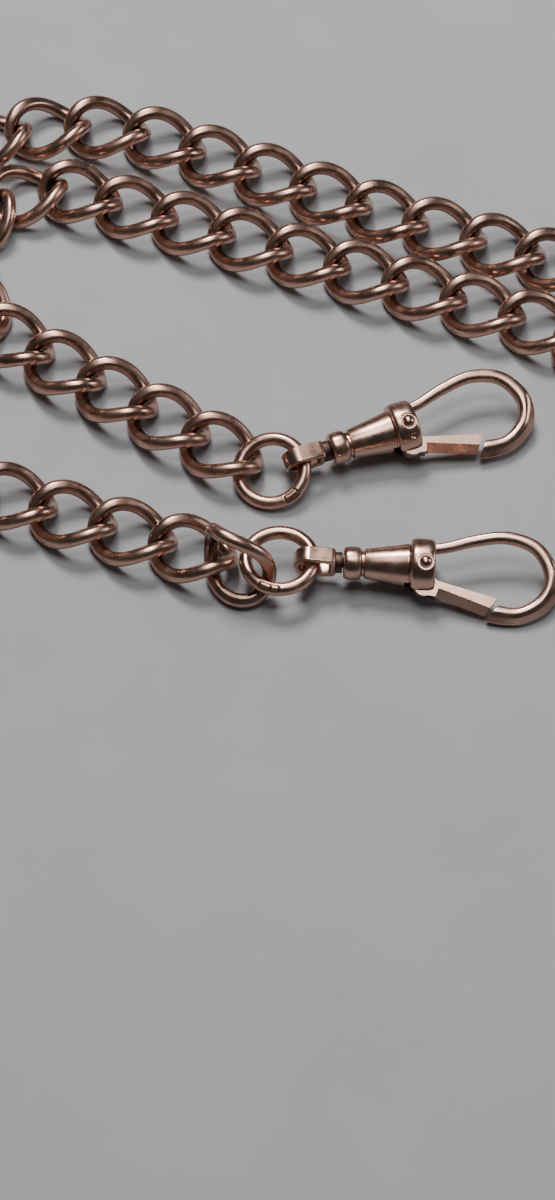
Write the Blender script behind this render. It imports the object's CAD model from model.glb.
"""A rose gold pocket watch chain with two swivel snap hooks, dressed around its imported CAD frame.

Lengths are in millimetres up to the moment a mesh is made, when MM turns them into metres.
The sizes and the route repeat those of the CAD part, because only the frame can be read here.
"""
import math

import bmesh
import bpy
from mathutils import Euler, Matrix, Vector


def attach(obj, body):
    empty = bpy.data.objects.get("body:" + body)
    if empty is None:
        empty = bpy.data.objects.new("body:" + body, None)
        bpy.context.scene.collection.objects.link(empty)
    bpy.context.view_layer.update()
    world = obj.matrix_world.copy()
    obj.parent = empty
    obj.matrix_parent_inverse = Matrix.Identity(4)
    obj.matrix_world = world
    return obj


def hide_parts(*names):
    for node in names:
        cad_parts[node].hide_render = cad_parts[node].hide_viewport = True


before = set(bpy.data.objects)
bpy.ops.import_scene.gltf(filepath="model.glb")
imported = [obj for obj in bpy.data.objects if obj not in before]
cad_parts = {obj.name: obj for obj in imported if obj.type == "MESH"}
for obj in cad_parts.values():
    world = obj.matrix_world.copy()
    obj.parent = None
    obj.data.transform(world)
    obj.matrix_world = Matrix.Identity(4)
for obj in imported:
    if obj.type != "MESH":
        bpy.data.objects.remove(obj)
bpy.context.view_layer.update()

MM = 0.001

# ---- sizes, as in the CAD part ----

MIDDLE = Vector((-0.8, 32.5, 0))
LINK_WIRE = 1.6
LINK_HALF_LENGTH = (7 + LINK_WIRE + 0.15) / 2
LINK_HALF_WIDTH = 3.45
LINK_TWIST = 43
LINK_HEIGHT = 2.04
ROUTE_START = Vector((-3.3, 16.7))
ROUTE_HEADING = 147.5
# Number of links, turn before each of them, step from link to link
RUNS = [
    (5, 0, 7), (2, -28, 6.75), (3, -37, 6.75), (6, 0, 7), (2, -0.5, 7),
    (1, -29, 6.5), (6, 42.5, 6.5), (1, -44, 6.3), (1, 0, 7), (3, -1.5, 7),
    (3, 0, 7), (7, 14.5, 7), (5, 16, 7), (4, 1, 7),
]
LAST_LINK_AT = (-4.6, 2.35, 3.7)
LAST_LINK_TURN = (61, 36, -48)
LINK_PAIRS = (38, 42)

RING_R = 3.7
RING_WIRE = 1.5
RING_AT = ((-0.65, 15.7, 2.05), (0.25, 2.95, 3.3))
RING_TURN = ((0, 20, 243), (0, 0, 0))

CLIP_AT = ((2.8, 16.7, 3.08), (3.95, 2.85, 3.3))
CLIP_HEADING = ((0, 0.25, 20), (0, 1.35, -2))
CLIP_ROLL = (18, 21)
EYE_ROLL = (14, 0)
PIVOT = (12.1, -0.1)
# The two ends of the chain, each with a jump ring and a snap hook
ENDS = (0, 1)

# ---- placing ----


def turned(at, *turns):
    """The matrix that turns by each set of degrees about X, Y and Z, and then moves to a place."""
    matrix = Matrix.Translation(Vector(at) - MIDDLE)
    for turn in turns:
        matrix = matrix @ Euler([math.radians(a) for a in turn]).to_matrix().to_4x4()
    return matrix


def link_places():
    """The matrix of each link, from the first jump ring to the second."""
    places = []
    point = ROUTE_START.copy()
    heading = ROUTE_HEADING
    for count, turn, step in RUNS:
        for _ in range(count):
            heading += turn
            along = Vector((math.cos(math.radians(heading)), math.sin(math.radians(heading))))
            middle = point + along * step / 2
            places.append(turned((middle.x, middle.y, LINK_HEIGHT), (0, 0, heading)))
            point += along * step
    places.append(turned(LAST_LINK_AT, LAST_LINK_TURN))
    return places


def clip_place(end, roll):
    return turned(CLIP_AT[end], CLIP_HEADING[end], (roll, 0, 0))


# ---- mesh tools ----


def mesh_object(name, points, faces, matrix, tarnish=()):
    """An object from millimetre points, moved by a matrix, with its own origin left at zero."""
    mesh = bpy.data.meshes.new(name)
    placed = [matrix @ Vector(p) * MM for p in points]
    mesh.from_pydata(placed, [], faces)
    bm = bmesh.new()
    bm.from_mesh(mesh)
    bmesh.ops.recalc_face_normals(bm, faces=bm.faces)
    bm.to_mesh(mesh)
    bm.free()
    for face in mesh.polygons:
        face.use_smooth = True
    if tarnish:
        mesh.attributes.new("tarnish", "FLOAT", "POINT").data.foreach_set("value", tarnish)
    piece = bpy.data.objects.new(name, mesh)
    bpy.context.scene.collection.objects.link(piece)
    return piece


def tube(rings, closed=True):
    """Points and faces of a tube through rings of points: closed on itself, or with capped ends."""
    sides = len(rings[0])
    count = len(rings)
    points = [p for ring in rings for p in ring]
    faces = []
    for i in range(count if closed else count - 1):
        j = (i + 1) % count
        for s in range(sides):
            n = (s + 1) % sides
            faces.append((i * sides + s, j * sides + s, j * sides + n, i * sides + n))
    if not closed:
        faces.append(tuple(range(sides)))
        faces.append(tuple((count - 1) * sides + s for s in range(sides)))
    return points, faces


def lathe(profile, sides=96):
    """A solid turned about X from (x, radius) pairs: the first and last only mark its flat ends."""
    rings = []
    for x, r in profile[1:-1]:
        angles = [2 * math.pi * s / sides for s in range(sides)]
        rings.append([Vector((x, r * math.cos(a), r * math.sin(a))) for a in angles])
    return tube(rings, closed=False)


def prism(outline, half):
    """A slab from an outline in the XY plane, as thick as twice half."""
    n = len(outline)
    points = [(x, y, -half) for x, y in outline] + [(x, y, half) for x, y in outline]
    faces = [tuple(range(n - 1, -1, -1)), tuple(range(n, 2 * n))]
    faces += [(i, (i + 1) % n, n + (i + 1) % n, n + i) for i in range(n)]
    return points, faces


def arc(cx, cy, r, start, end, steps):
    """Points along an arc, in degrees, both ends included."""
    angles = [math.radians(start + (end - start) * k / steps) for k in range(steps + 1)]
    return [(cx + r * math.cos(a), cy + r * math.sin(a)) for a in angles]


def apply_modifiers(piece):
    """Bakes a piece's modifiers into its mesh."""
    graph = bpy.context.evaluated_depsgraph_get()
    mesh = bpy.data.meshes.new_from_object(piece.evaluated_get(graph))
    old = piece.data
    piece.modifiers.clear()
    piece.data = mesh
    bpy.data.meshes.remove(old)


def cut(piece, cutters):
    """Subtracts the cutters from a piece and removes them."""
    for cutter in cutters:
        modifier = piece.modifiers.new("cut", "BOOLEAN")
        modifier.operation = "DIFFERENCE"
        modifier.solver = "EXACT"
        modifier.object = cutter
    apply_modifiers(piece)
    for cutter in cutters:
        bpy.data.objects.remove(cutter)


def bevelled(piece, width, segments=3, angle=30):
    """Rounds a piece's sharp edges, in millimetres, and keeps its flats flat."""
    modifier = piece.modifiers.new("bevel", "BEVEL")
    modifier.width = width * MM
    modifier.segments = segments
    modifier.limit_method = "ANGLE"
    modifier.angle_limit = math.radians(angle)
    apply_modifiers(piece)
    for face in piece.data.polygons:
        face.use_smooth = True
    normals = piece.modifiers.new("normals", "WEIGHTED_NORMAL")
    normals.keep_sharp = True
    apply_modifiers(piece)


def catmull(rows, i, t):
    """Catmull-Rom curve through rows of numbers, between rows i and i + 1."""
    last = len(rows) - 1
    a, b, c, d = (rows[max(0, min(last, k))] for k in (i - 1, i, i + 1, i + 2))
    return [
        0.5 * (2 * q + (r - p) * t + (2 * p - 5 * q + 4 * r - s) * t * t
               + (3 * q - p - 3 * r + s) * t ** 3)
        for p, q, r, s in zip(a, b, c, d)
    ]


# ---- materials ----

# Scale of the noise behind each feature of the gold
CLOUD_SCALE = 420
SMUDGE_SCALE = 500
PIT_SCALE = 2600
# Depth of the pits in metres, and the share of it that shows
PIT_DEPTH = 0.00004
PIT_STRENGTH = 0.04


def node_material(name):
    """A new material with its node tree and its shader."""
    material = bpy.data.materials.new(name)
    material.use_nodes = True
    tree = material.node_tree
    return material, tree, tree.nodes["Principled BSDF"]


def noise(tree, scale, detail=6, rough=0.6):
    """Noise in the space of the model, where the scale is about the number of patches in a metre."""
    texture = tree.nodes.new("ShaderNodeTexNoise")
    texture.inputs["Scale"].default_value = scale
    texture.inputs["Detail"].default_value = detail
    texture.inputs["Roughness"].default_value = rough
    coordinates = tree.nodes.new("ShaderNodeTexCoord")
    tree.links.new(coordinates.outputs["Object"], texture.inputs["Vector"])
    return texture


def ramp(tree, source, stops):
    """A colour ramp over a value, from (position, colour) stops."""
    node = tree.nodes.new("ShaderNodeValToRGB")
    elements = node.color_ramp.elements
    while len(elements) < len(stops):
        elements.new(0.5)
    for element, (position, colour) in zip(elements, stops):
        element.position = position
        element.color = (*colour, 1)
    tree.links.new(source, node.inputs["Fac"])
    return node


def grey(value):
    return (value, value, value)


def multiply(tree, a, b, factor):
    """Colour a darkened by colour b, by a factor from 0 to 1."""
    node = tree.nodes.new("ShaderNodeMix")
    node.data_type = "RGBA"
    node.blend_type = "MULTIPLY"
    node.inputs["Factor"].default_value = factor
    tree.links.new(a, node.inputs["A"])
    tree.links.new(b, node.inputs["B"])
    return node.outputs["Result"]


def rose_gold(name, bright, dark, gloss):
    """Old rose gold: darker in the hollows and where it is tarnished, bright on worn edges, pitted."""
    material, tree, shader = node_material(name)
    clouds = noise(tree, CLOUD_SCALE, 5)
    tone = ramp(tree, clouds.outputs["Fac"], [(0.3, dark), (0.52, bright), (0.75, bright)])
    geometry = tree.nodes.new("ShaderNodeNewGeometry")
    edges = [(0.44, grey(0.45)), (0.5, grey(0.92)), (0.56, grey(1))]
    wear = ramp(tree, geometry.outputs["Pointiness"], edges)
    worn = multiply(tree, tone.outputs["Color"], wear.outputs["Color"], 0.8)
    hollow = tree.nodes.new("ShaderNodeAttribute")
    hollow.attribute_name = "tarnish"
    film = ramp(tree, hollow.outputs["Fac"], [(0.1, grey(1)), (0.85, (0.13, 0.09, 0.07))])
    colour = multiply(tree, worn, film.outputs["Color"], 0.9)
    tree.links.new(colour, shader.inputs["Base Color"])
    smudges = noise(tree, SMUDGE_SCALE, 5)
    dulling = [(0.3, grey(gloss - 0.07)), (0.7, grey(gloss + 0.12))]
    rough = ramp(tree, smudges.outputs["Fac"], dulling)
    tree.links.new(rough.outputs["Color"], shader.inputs["Roughness"])
    pits = noise(tree, PIT_SCALE, 4, 0.75)
    bump = tree.nodes.new("ShaderNodeBump")
    bump.inputs["Strength"].default_value = PIT_STRENGTH
    bump.inputs["Distance"].default_value = PIT_DEPTH
    tree.links.new(pits.outputs["Fac"], bump.inputs["Height"])
    tree.links.new(bump.outputs["Normal"], shader.inputs["Normal"])
    shader.inputs["Metallic"].default_value = 1
    return material


def spring_steel():
    """The drawn strip of the gate spring, browned with age."""
    material, tree, shader = node_material("spring_strip")
    grain = noise(tree, 1500, 6)
    tone = ramp(tree, grain.outputs["Fac"], [(0.3, (0.16, 0.12, 0.10)), (0.7, (0.36, 0.29, 0.25))])
    tree.links.new(tone.outputs["Color"], shader.inputs["Base Color"])
    shader.inputs["Metallic"].default_value = 1
    shader.inputs["Roughness"].default_value = 0.42
    return material


def pale_board():
    """The pale surface below, with a very soft mottle."""
    material, tree, shader = node_material("pale_board")
    mottle = noise(tree, 60, 3)
    greys = [(0.3, (0.33, 0.33, 0.345)), (0.7, (0.36, 0.36, 0.375))]
    tone = ramp(tree, mottle.outputs["Fac"], greys)
    tree.links.new(tone.outputs["Color"], shader.inputs["Base Color"])
    shader.inputs["Roughness"].default_value = 0.75
    return material


CHAIN_GOLD = rose_gold("chain_rose_gold", (0.56, 0.345, 0.27), (0.43, 0.255, 0.195), 0.27)
CLIP_GOLD = rose_gold("clip_rose_gold", (0.56, 0.355, 0.28), (0.49, 0.305, 0.235), 0.25)
TARNISHED = rose_gold("tarnished_gold", (0.10, 0.06, 0.05), (0.04, 0.025, 0.02), 0.45)
SPRING_STEEL = spring_steel()


def finish_piece(piece, material, body, slot, *nodes):
    """Gives a piece its material, the body it rides on and the CAD node it stands for."""
    piece.data.materials.clear()
    piece.data.materials.append(material)
    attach(piece, body)
    if nodes:
        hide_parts(*nodes)


# ---- chain links ----

LINK_RINGS = 96
LINK_SIDES = 24
# The filed flats along the top and bottom of each link take a little off the round wire
LINK_FLAT = 0.93


def link_point(t):
    """A point of the middle line of a link, at an angle round its oval."""
    x = LINK_HALF_LENGTH * math.cos(t)
    w = LINK_HALF_WIDTH * math.sin(t)
    a = -math.radians(LINK_TWIST) * x / LINK_HALF_LENGTH
    return Vector((x, w * math.cos(a), w * math.sin(a)))


def link_tarnish(t):
    """Tarnish round one section of a link: most on the inner side, and towards the two ends."""
    values = []
    for s in range(LINK_SIDES):
        inner = max(0.0, -math.cos(2 * math.pi * (s + 0.5) / LINK_SIDES))
        values.append(inner ** 0.7 * (0.3 + 0.7 * math.cos(t) ** 2))
    return values


def link_ring(t):
    """One section of a link: round wire, slightly flattened square to the twisted oval."""
    centre = link_point(t)
    along = (link_point(t + 0.01) - link_point(t - 0.01)).normalized()
    a = -math.radians(LINK_TWIST) * centre.x / LINK_HALF_LENGTH
    up = Vector((0, -math.sin(a), math.cos(a)))
    up = (up - up.dot(along) * along).normalized()
    side = along.cross(up)
    r = LINK_WIRE / 2
    ring = []
    for s in range(LINK_SIDES):
        angle = 2 * math.pi * (s + 0.5) / LINK_SIDES
        height = max(-LINK_FLAT, min(LINK_FLAT, math.sin(angle)))
        ring.append(centre + side * r * math.cos(angle) + up * r * height)
    return ring


def link_node(index):
    """The CAD node of a link, which is also its body. Two pairs of links share one."""
    first = index - 1 if index - 1 in LINK_PAIRS else index
    if first in LINK_PAIRS:
        return f"link_{first + 1:02d}_{first + 2:02d}"
    return f"link_{index + 1:02d}"


def make_links():
    turns = [2 * math.pi * k / LINK_RINGS for k in range(LINK_RINGS)]
    points, faces = tube([link_ring(t) for t in turns])
    tarnish = [value for t in turns for value in link_tarnish(t)]
    for index, place in enumerate(link_places()):
        piece = mesh_object(f"curb_link_{index + 1:02d}", points, faces, place, tarnish)
        node = link_node(index)
        finish_piece(piece, CHAIN_GOLD, node, "chain", node)


# ---- jump rings, with blank stamped cartouches ----

RING_STEPS = 480
RING_SIDES = 64
# (degrees round the ring, degrees round the wire, half length mm, half width mm) of each cartouche
CARTOUCHES = (
    ((62, 70, 0.75, 0.45),),
    ((246, 62, 0.6, 0.36), (262, 62, 0.42, 0.36)),
)
CARTOUCHE_DEPTH = 0.11
CARTOUCHE_RIM = 0.08
CARTOUCHE_CORNER = 0.2
# Depth of the middle of a cartouche over the depth of its groove
CARTOUCHE_FLOOR = 0.3
# How far from its middle a cartouche can reach, along and across the wire
CARTOUCHE_REACH = (2, 1)


def stamp_depth(along, across, half_long, half_wide):
    """Depth of a blank stamp: a groove round a rounded rectangle, with a nearly flush middle."""
    dx = max(0.0, abs(along) - half_long + CARTOUCHE_CORNER)
    dy = max(0.0, abs(across) - half_wide + CARTOUCHE_CORNER)
    edge = math.hypot(dx, dy) - CARTOUCHE_CORNER
    groove = math.exp(-(edge / CARTOUCHE_RIM) ** 2)
    inside = CARTOUCHE_FLOOR if edge < 0 else 0.0
    return CARTOUCHE_DEPTH * max(groove, inside)


def ring_stamp(end, turn, roll):
    """How deep the stamps of a jump ring are at one place on its wire."""
    r = RING_WIRE / 2
    depth = 0.0
    for at, lean, half_long, half_wide in CARTOUCHES[end]:
        along = math.radians((turn - at + 180) % 360 - 180) * RING_R
        across = math.radians((roll - lean + 180) % 360 - 180) * r
        if abs(along) < CARTOUCHE_REACH[0] and abs(across) < CARTOUCHE_REACH[1]:
            depth = max(depth, stamp_depth(along, across, half_long, half_wide))
    return depth


def ring_sections(end):
    """The sections of a jump ring, and the tarnish at each of their points."""
    rings = []
    tarnish = []
    for k in range(RING_STEPS):
        turn = 360 * k / RING_STEPS
        out = Vector((math.cos(math.radians(turn)), math.sin(math.radians(turn)), 0))
        ring = []
        for s in range(RING_SIDES):
            roll = 360 * s / RING_SIDES
            stamp = ring_stamp(end, turn, roll)
            tarnish.append(min(1.0, stamp / CARTOUCHE_DEPTH))
            r = RING_WIRE / 2 - stamp
            side = out * (RING_R + r * math.cos(math.radians(roll)))
            ring.append(side + Vector((0, 0, r * math.sin(math.radians(roll)))))
        rings.append(ring)
    return rings, tarnish


def make_rings():
    for end in ENDS:
        rings, tarnish = ring_sections(end)
        points, faces = tube(rings)
        place = turned(RING_AT[end], RING_TURN[end])
        piece = mesh_object(f"round_ring_{end + 1}", points, faces, place, tarnish)
        finish_piece(piece, CHAIN_GOLD, f"ring_{end + 1}", "rings", f"jump_ring_{end + 1}")


# ---- swivel eyes ----

EYE_WIDTH = 1.9
EYE_WALL = 0.65
# Middle and radius of the round back of the strap
EYE_BACK_AT = -0.45
EYE_BACK_R = 1.75
# Where the outer face of the plate is, half its height, and the radius of its corners
EYE_PLATE = 2.4
EYE_PLATE_HALF = 1.5
EYE_CORNER = 0.5
# (x, radius) along the shank: its root in the plate, the shoulder, the shank and its head
SHANK = [
    (2.1, 0), (2.1, 0.9), (2.36, 0.9), (2.36, 1.15), (3.1, 1.15), (3.1, 0.55),
    (5.55, 0.55), (5.6, 0.95), (6.4, 0.95), (6.4, 0),
]


def strap(inset):
    """Outline of the strap, drawn in by an inset: two corners of its plate, then its round back."""
    r = EYE_CORNER - inset * 0.5
    plate = EYE_PLATE - inset - r
    half = EYE_PLATE_HALF - inset - r
    outline = arc(plate, -half, r, -90, 0, 6) + arc(plate, half, r, 0, 90, 6)
    return outline + arc(EYE_BACK_AT, 0, EYE_BACK_R - inset, 90, 270, 32)


def strap_mesh():
    """Points and faces of the strap: outer and inner face, and the two flat sides between them."""
    outer, inner = strap(0), strap(EYE_WALL)
    n = len(outer)
    half = EYE_WIDTH / 2
    points = [(x, y, z) for z in (-half, half) for loop in (outer, inner) for x, y in loop]
    faces = []
    for i in range(n):
        j = (i + 1) % n
        faces.append((i, j, n + j, n + i))
        faces.append((2 * n + i, 3 * n + i, 3 * n + j, 2 * n + j))
        faces.append((i, 2 * n + i, 2 * n + j, j))
        faces.append((n + i, n + j, 3 * n + j, 3 * n + i))
    return points, faces


def make_eyes():
    lay = Matrix.Rotation(math.radians(90), 4, "X")
    for end in ENDS:
        place = clip_place(end, EYE_ROLL[end])
        points, faces = strap_mesh()
        loop = mesh_object(f"eye_strap_{end + 1}", points, faces, place @ lay)
        bevelled(loop, 0.18, 4)
        finish_piece(loop, CLIP_GOLD, f"eye_{end + 1}", "clips", f"swivel_eye_{end + 1}")
        points, faces = lathe(SHANK, 64)
        stem = mesh_object(f"eye_shank_{end + 1}", points, faces, place)
        bevelled(stem, 0.06)
        finish_piece(stem, TARNISHED, f"eye_{end + 1}", "clips")


# ---- snap hook bodies ----

HOOK_LINE = [
    (12.4, 1.8, 1.15, 1.3), (14.6, 2.2, 1.2, 1.3), (17.6, 3.05, 1.3, 1.4),
    (21.1, 3.5, 1.4, 1.5), (24.3, 2.35, 1.5, 1.6), (25.95, -0.6, 1.7, 1.7),
    (25.2, -3.4, 1.95, 1.8), (22.6, -5.1, 1.9, 1.8), (19.5, -5, 2.1, 1.6),
]
HOOK_STEPS = 16
HOOK_SIDES = 32
# Power of the sections of the hook: 2 is an oval, and more is squarer
HOOK_SQUARE = 2.6
# Degrees of the oblique end of the hook to the axis of the clip
HOOK_TIP_CUT = 54
# Number of sections up to the tip that turn towards the oblique end
TIP_SECTIONS = 6
# Share of the half thickness that the filed outer edge of the hook loses, on both faces
HOOK_SLOPE = 0.85
# How fast the slope sets in as the outer side turns to the gate, and its share half way round
SLOPE_RISE = 1.5
SLOPE_START = 0.3
COLLAR_STEPS = 24
# How far the rims of a collar drop below its crown
COLLAR_DROP = 0.62
# (middle, half length, radius, power of the rounding) of the two collars
NECK_COLLAR = (4.2, 1.0, 1.83, 0.62)
MOUTH_COLLAR = (11.85, 1.33, 3.02, 0.55)
# (x, radius) between the collars: the groove, and the cone with its rolled end
CONE = [
    (5.24, 1.42), (5.45, 1.42), (5.5, 1.5), (5.6, 1.66),
    (8.1, 2.03), (10.1, 2.36), (10.28, 2.4), (10.4, 2.32),
]
BARREL_FROM = 3.2
BARREL_TO = 13.18
# (where it starts, bottom, top, half width) of the slot, and of the pocket's two steps behind it
SLOT = (9.9, -5, 0.85, 0.95)
POCKET = ((7.2, -1.5, -0.4, 0.62), (8.65, -1.96, -0.4, 0.62))
# Where all three of these cuts end, past the mouth
SLOT_TO = 14
# (x, radius) of the round recess for a rivet head, along the rivet
RIVET_RECESS = [(2.72, 0), (2.72, 0.92), (3.6, 0.92), (3.6, 0)]
# Where the dimple is along the barrel and out from its axis, and its degrees from the rivet
DIMPLE_AT = 12.15
DIMPLE_OUT = 3.3
DIMPLE_LEAN = 36
DIMPLE_R = 0.5
DIMPLE_STEPS = 16


def collar(middle, half, radius, roundness):
    """(x, radius) over a collar: a slightly crowned drum with rounded rims."""
    points = []
    for k in range(COLLAR_STEPS + 1):
        a = math.pi * (k / COLLAR_STEPS - 0.5)
        x = math.copysign(abs(math.sin(a)) ** roundness, a)
        rise = abs(math.cos(a)) ** roundness
        points.append((middle + half * x, radius - COLLAR_DROP * (1 - rise)))
    return points


def barrel_profile():
    """(x, radius) along the barrel: neck collar, groove, cone, and the mouth collar."""
    collars = (collar(*NECK_COLLAR), collar(*MOUTH_COLLAR))
    return [(BARREL_FROM, 0)] + collars[0] + CONE + collars[1] + [(BARREL_TO, 0)]


def super_ring(centre, side, rx, rz, slope):
    """A section of the hook: an oval squared off a little, with its outer side filed to a slope."""
    ring = []
    for s in range(HOOK_SIDES):
        a = 2 * math.pi * (s + 0.5) / HOOK_SIDES
        c = math.copysign(abs(math.cos(a)) ** (2 / HOOK_SQUARE), math.cos(a))
        z = math.copysign(abs(math.sin(a)) ** (2 / HOOK_SQUARE), math.sin(a))
        fall = 1 - slope * max(0.0, c)
        ring.append(centre + side * rx * c + Vector((0, 0, rz * z * fall)))
    return ring


def hook_rings():
    """The sections of the hook. The slope is only where the outer side is the side of the gate."""
    rows = [catmull(HOOK_LINE, i, k / HOOK_STEPS)
            for i in range(len(HOOK_LINE) - 1) for k in range(HOOK_STEPS)]
    rows.append(list(HOOK_LINE[-1]))
    tip = Vector((-math.cos(math.radians(HOOK_TIP_CUT)), -math.sin(math.radians(HOOK_TIP_CUT)), 0))
    rings = []
    for i, (x, y, width, thick) in enumerate(rows):
        before, after = rows[max(0, i - 1)], rows[min(len(rows) - 1, i + 1)]
        side = Vector((before[1] - after[1], after[0] - before[0], 0)).normalized()
        near_tip = max(0.0, (i - len(rows) + 1 + TIP_SECTIONS) / TIP_SECTIONS)
        side = side.lerp(tip, near_tip).normalized()
        slope = HOOK_SLOPE * max(0.0, min(1.0, SLOPE_START - side.y * SLOPE_RISE))
        rings.append(super_ring(Vector((x, y, 0)), side, width / 2, thick / 2, slope))
    return rings


def slot_cutter(place, start, bottom, top, half):
    """One of the cuts that make the gate's slot and the blind pocket for its spring behind it."""
    outline = [(start, bottom), (SLOT_TO, bottom), (SLOT_TO, top), (start, top)]
    points, faces = prism(outline, half)
    return mesh_object("slot_cutter", points, faces, place)


def recess_cutter(place, side):
    """The round recess for one head of the rivet, on the side 1 or -1."""
    stand = Matrix.Translation((*PIVOT, 0)) @ Matrix.Rotation(math.radians(-90 * side), 4, "Y")
    points, faces = lathe(RIVET_RECESS, 48)
    return mesh_object("recess_cutter", points, faces, place @ stand)


def dimple_cutter(place):
    """A small ball that leaves a dimple beside the rivet."""
    lean = math.radians(DIMPLE_LEAN)
    out = (DIMPLE_AT, -DIMPLE_OUT * math.sin(lean), DIMPLE_OUT * math.cos(lean))
    points, faces = lathe(arc(0, 0, DIMPLE_R, 180, 0, DIMPLE_STEPS), 32)
    return mesh_object("dimple_cutter", points, faces, place @ Matrix.Translation(out))


def barrel_cutters(end, place):
    """Cutters for the slot, the pocket and the rivet's recesses, and on one clip for a dimple."""
    cutters = [slot_cutter(place, *SLOT)]
    cutters += [slot_cutter(place, *step) for step in POCKET]
    cutters += [recess_cutter(place, 1), recess_cutter(place, -1)]
    if end == 0:
        cutters.append(dimple_cutter(place))
    return cutters


def make_clip_bodies():
    for end in ENDS:
        place = clip_place(end, CLIP_ROLL[end])
        body = f"clip_{end + 1}"
        points, faces = lathe(barrel_profile())
        barrel = mesh_object(f"barrel_{end + 1}", points, faces, place)
        cut(barrel, barrel_cutters(end, place))
        bevelled(barrel, 0.05, 2, 40)
        finish_piece(barrel, CLIP_GOLD, body, "clips", f"clip_body_{end + 1}")
        points, faces = tube(hook_rings(), closed=False)
        hook = mesh_object(f"hook_{end + 1}", points, faces, place)
        bevelled(hook, 0.12, 3, 50)
        finish_piece(hook, CLIP_GOLD, body, "clips")


# ---- gates, rivets and springs ----

# Half the thickness of the gate
GATE_HALF = 0.85
# The disc round the rivet, and the knuckle below it
GATE_DISC_R = 0.85
KNUCKLE_AT = (12.1, -2.3)
KNUCKLE_R = 1.15
# The two ends of the line that the slope on the bar runs up from, just outside its lower edge
BAR_SLOPE = ((13.3, -3.55), (19.6, -5.75))
# (across the bar from that line, height) of the corners of the wedge that is filed off
SLOPE_WEDGE = ((1.12, 0.95), (-0.5, 0.95), (-0.5, -0.1), (0, -0.1))
# Shift along the gate for each millimetre across its bar, to keep the wedge square to the bar
BAR_LEAN = 0.33


def gate_outline():
    """The gate from its tail round the disc, along the bar to the oblique end, and back."""
    outline = [(10.1, -0.85), (11.2, -1.0), (11.15, -1.6)]
    outline += arc(*KNUCKLE_AT, KNUCKLE_R, 160, 290, 20)
    outline += [(13.4, -3.5), (18.7, -5.35), (20.0, -3.45), (13.5, -1.75), (13.0, -1.2)]
    outline += [(12.93, 0.0)]
    outline += arc(*PIVOT, GATE_DISC_R, 8, 150, 16)
    outline += [(10.1, -0.35)]
    return outline


def bar_slope_cutter(place, side):
    """A wedge that files the outer edge of the gate's bar down to a slope, on one face."""
    points = []
    for x, y in BAR_SLOPE:
        for across, z in SLOPE_WEDGE:
            points.append((x + across * BAR_LEAN, y + across, side * z))
    faces = [(0, 1, 2, 3), (4, 5, 6, 7)]
    for k in range(4):
        n = (k + 1) % 4
        faces.append((k, n, 4 + n, 4 + k))
    return mesh_object("slope_cutter", points, faces, place)


def make_gates():
    for end in ENDS:
        place = clip_place(end, CLIP_ROLL[end])
        points, faces = prism(gate_outline(), GATE_HALF)
        piece = mesh_object(f"gate_bar_{end + 1}", points, faces, place)
        cut(piece, [bar_slope_cutter(place, 1), bar_slope_cutter(place, -1)])
        bevelled(piece, 0.09, 3, 25)
        finish_piece(piece, CLIP_GOLD, f"gate_{end + 1}", "clips", f"gate_{end + 1}")


def dress_node(node, material):
    """Gives a CAD node that stays as it is its finished material."""
    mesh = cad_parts[node].data
    mesh.materials.clear()
    mesh.materials.append(material)


def dress_cad_nodes():
    for end in ENDS:
        dress_node(f"gate_rivet_{end + 1}", CLIP_GOLD)
        dress_node(f"gate_spring_{end + 1}", SPRING_STEEL)


# ---- floor, lights and camera ----

FLOOR_HALF = 600


def make_floor():
    corners = ((-1, -1), (1, -1), (1, 1), (-1, 1))
    points = [(FLOOR_HALF * x, FLOOR_HALF * y, 0) for x, y in corners]
    floor = mesh_object("floor", points, [(0, 1, 2, 3)], Matrix.Identity(4))
    floor.data.materials.append(pale_board())


def area_light(name, at, size, power, colour=(1, 1, 1)):
    """A square area light in millimetres and watts, aimed at the middle of the chain."""
    light = bpy.data.lights.new(name, "AREA")
    light.energy = power
    light.size = size * MM
    light.color = colour
    lamp = bpy.data.objects.new(name, light)
    lamp.location = Vector(at) * MM
    lamp.rotation_euler = (-Vector(at)).to_track_quat("-Z", "Y").to_euler()
    bpy.context.scene.collection.objects.link(lamp)


def make_lights():
    area_light("key_light", (-60, 260, 430), 150, 2.5, (1, 0.97, 0.94))
    area_light("top_light", (10, 0, 480), 220, 1.1)
    area_light("side_light", (420, 60, 200), 160, 0.4)
    world = bpy.data.worlds.new("studio")
    world.use_nodes = True
    background = world.node_tree.nodes["Background"]
    background.inputs["Color"].default_value = (0.62, 0.63, 0.66, 1)
    background.inputs["Strength"].default_value = 0.08
    bpy.context.scene.world = world


CAMERA_DISTANCE = 470
CAMERA_ELEVATION = 57
# Half the picture's height in pixels, and pixels to a millimetre in its middle
HALF_HEIGHT = 600
PIXELS_PER_MM = 9.17
# Half the height of the view at the camera's distance, over that distance
CAMERA_HALF_VIEW = HALF_HEIGHT / PIXELS_PER_MM / CAMERA_DISTANCE
SENSOR = 36


def make_camera():
    camera = bpy.data.cameras.new("camera")
    camera.sensor_width = SENSOR
    camera.lens = SENSOR / 2 / CAMERA_HALF_VIEW
    elevation = math.radians(CAMERA_ELEVATION)
    back = Vector((0, -math.cos(elevation), math.sin(elevation))) * CAMERA_DISTANCE
    eye = bpy.data.objects.new("camera", camera)
    eye.location = (back - MIDDLE) * MM
    eye.rotation_euler = (math.pi / 2 - elevation, 0, 0)
    bpy.context.scene.collection.objects.link(eye)
    bpy.context.scene.camera = eye


make_camera()
make_links()
make_rings()
make_eyes()
make_clip_bodies()
make_gates()
dress_cad_nodes()
make_floor()
make_lights()
